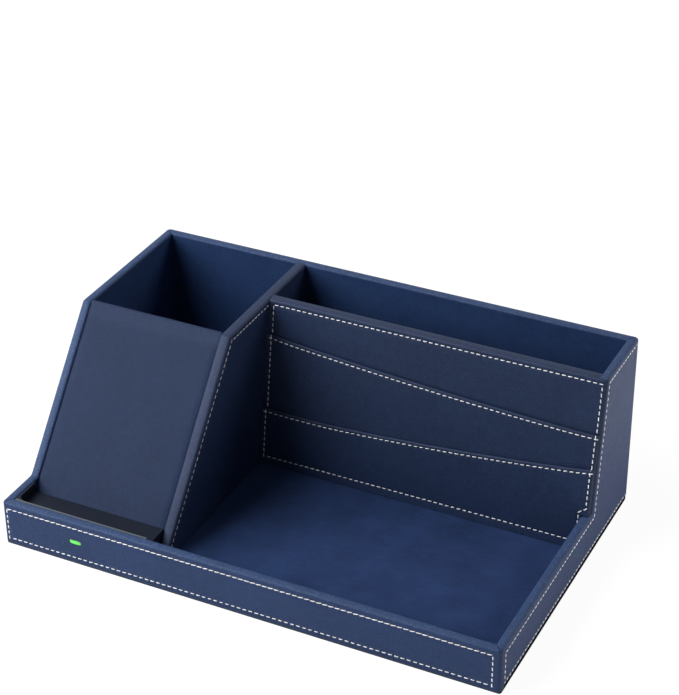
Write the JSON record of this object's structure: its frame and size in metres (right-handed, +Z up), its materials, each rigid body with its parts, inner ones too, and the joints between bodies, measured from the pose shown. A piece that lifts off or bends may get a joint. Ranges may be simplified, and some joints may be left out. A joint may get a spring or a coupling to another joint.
{
  "type": "charging station organizer",
  "caption": "Leather-wrapped desk organizer with a sloped wireless phone charger, pen box, open tray, leaning card pockets and a tablet slot.",
  "frame": {"origin": "middle of the underside", "axes": "+X to the right along the front, +Y to the back, +Z up"},
  "size_m": [0.286, 0.183, 0.1033],
  "materials": {
    "outer_leather": "grained navy leather, satin",
    "inner_leather": "grained dark navy leather",
    "wood_board": "pressed fibre board",
    "suede": "royal blue suede",
    "base_rubber": "matt black non-slip sheet",
    "rest_plastic": "dark blue-black moulded plastic",
    "lens": "clear green lens",
    "lamp": "small light chip",
    "housing_plastic": "black moulded plastic",
    "white_plastic": "white moulded plastic",
    "circuit_board": "green solder mask",
    "chip": "black epoxy",
    "can": "drawn can",
    "choke": "grey ferrite",
    "ferrite": "dark ferrite sheet",
    "copper": "enamelled copper wire",
    "steel": "plated steel",
    "lead_jacket": "black lead jacket"
  },
  "bodies": {
    "root": {"front_cover": "outer_leather", "left_cover": "outer_leather", "right_cover": "outer_leather", "back_cover": "outer_leather", "divider_cover": "outer_leather", "card_cover": "inner_leather", "middle_pocket": "inner_leather", "front_pocket": "inner_leather", "phone_cover": "inner_leather", "pen_front_cover": "inner_leather", "base_board": "wood_board", "front_board": "wood_board", "left_board": "wood_board", "right_board": "wood_board", "back_board": "wood_board", "divider_board": "wood_board", "card_board": "wood_board", "phone_board": "wood_board", "shelf_board": "wood_board", "shelf_battens": "wood_board", "pen_front_board": "wood_board", "pen_floor_board": "wood_board", "pen_floor_battens": "wood_board", "tray_mat": "suede", "pen_mat": "suede", "slot_mat": "suede", "base_sheet": "base_rubber", "phone_rest": "rest_plastic", "light_lens": "lens", "light_lamp": "lamp", "charger_housing": "housing_plastic", "charger_lid": "housing_plastic", "inlet_bezel": "housing_plastic", "inlet_tongue": "housing_plastic", "inlet_block": "housing_plastic", "lead_sockets": "white_plastic", "board_spacers": "white_plastic", "control_board": "circuit_board", "light_board": "circuit_board", "inlet_board": "circuit_board", "driver_chip": "chip", "filter_cans": "can", "power_choke": "choke", "ferrite_disc": "ferrite", "transmitter_coil": "copper", "board_screws": "steel", "charger_screws": "steel", "inlet_shell": "steel", "power_lead": "lead_jacket", "light_lead": "lead_jacket", "coil_lead": "lead_jacket"}
  },
  "joints": []
}
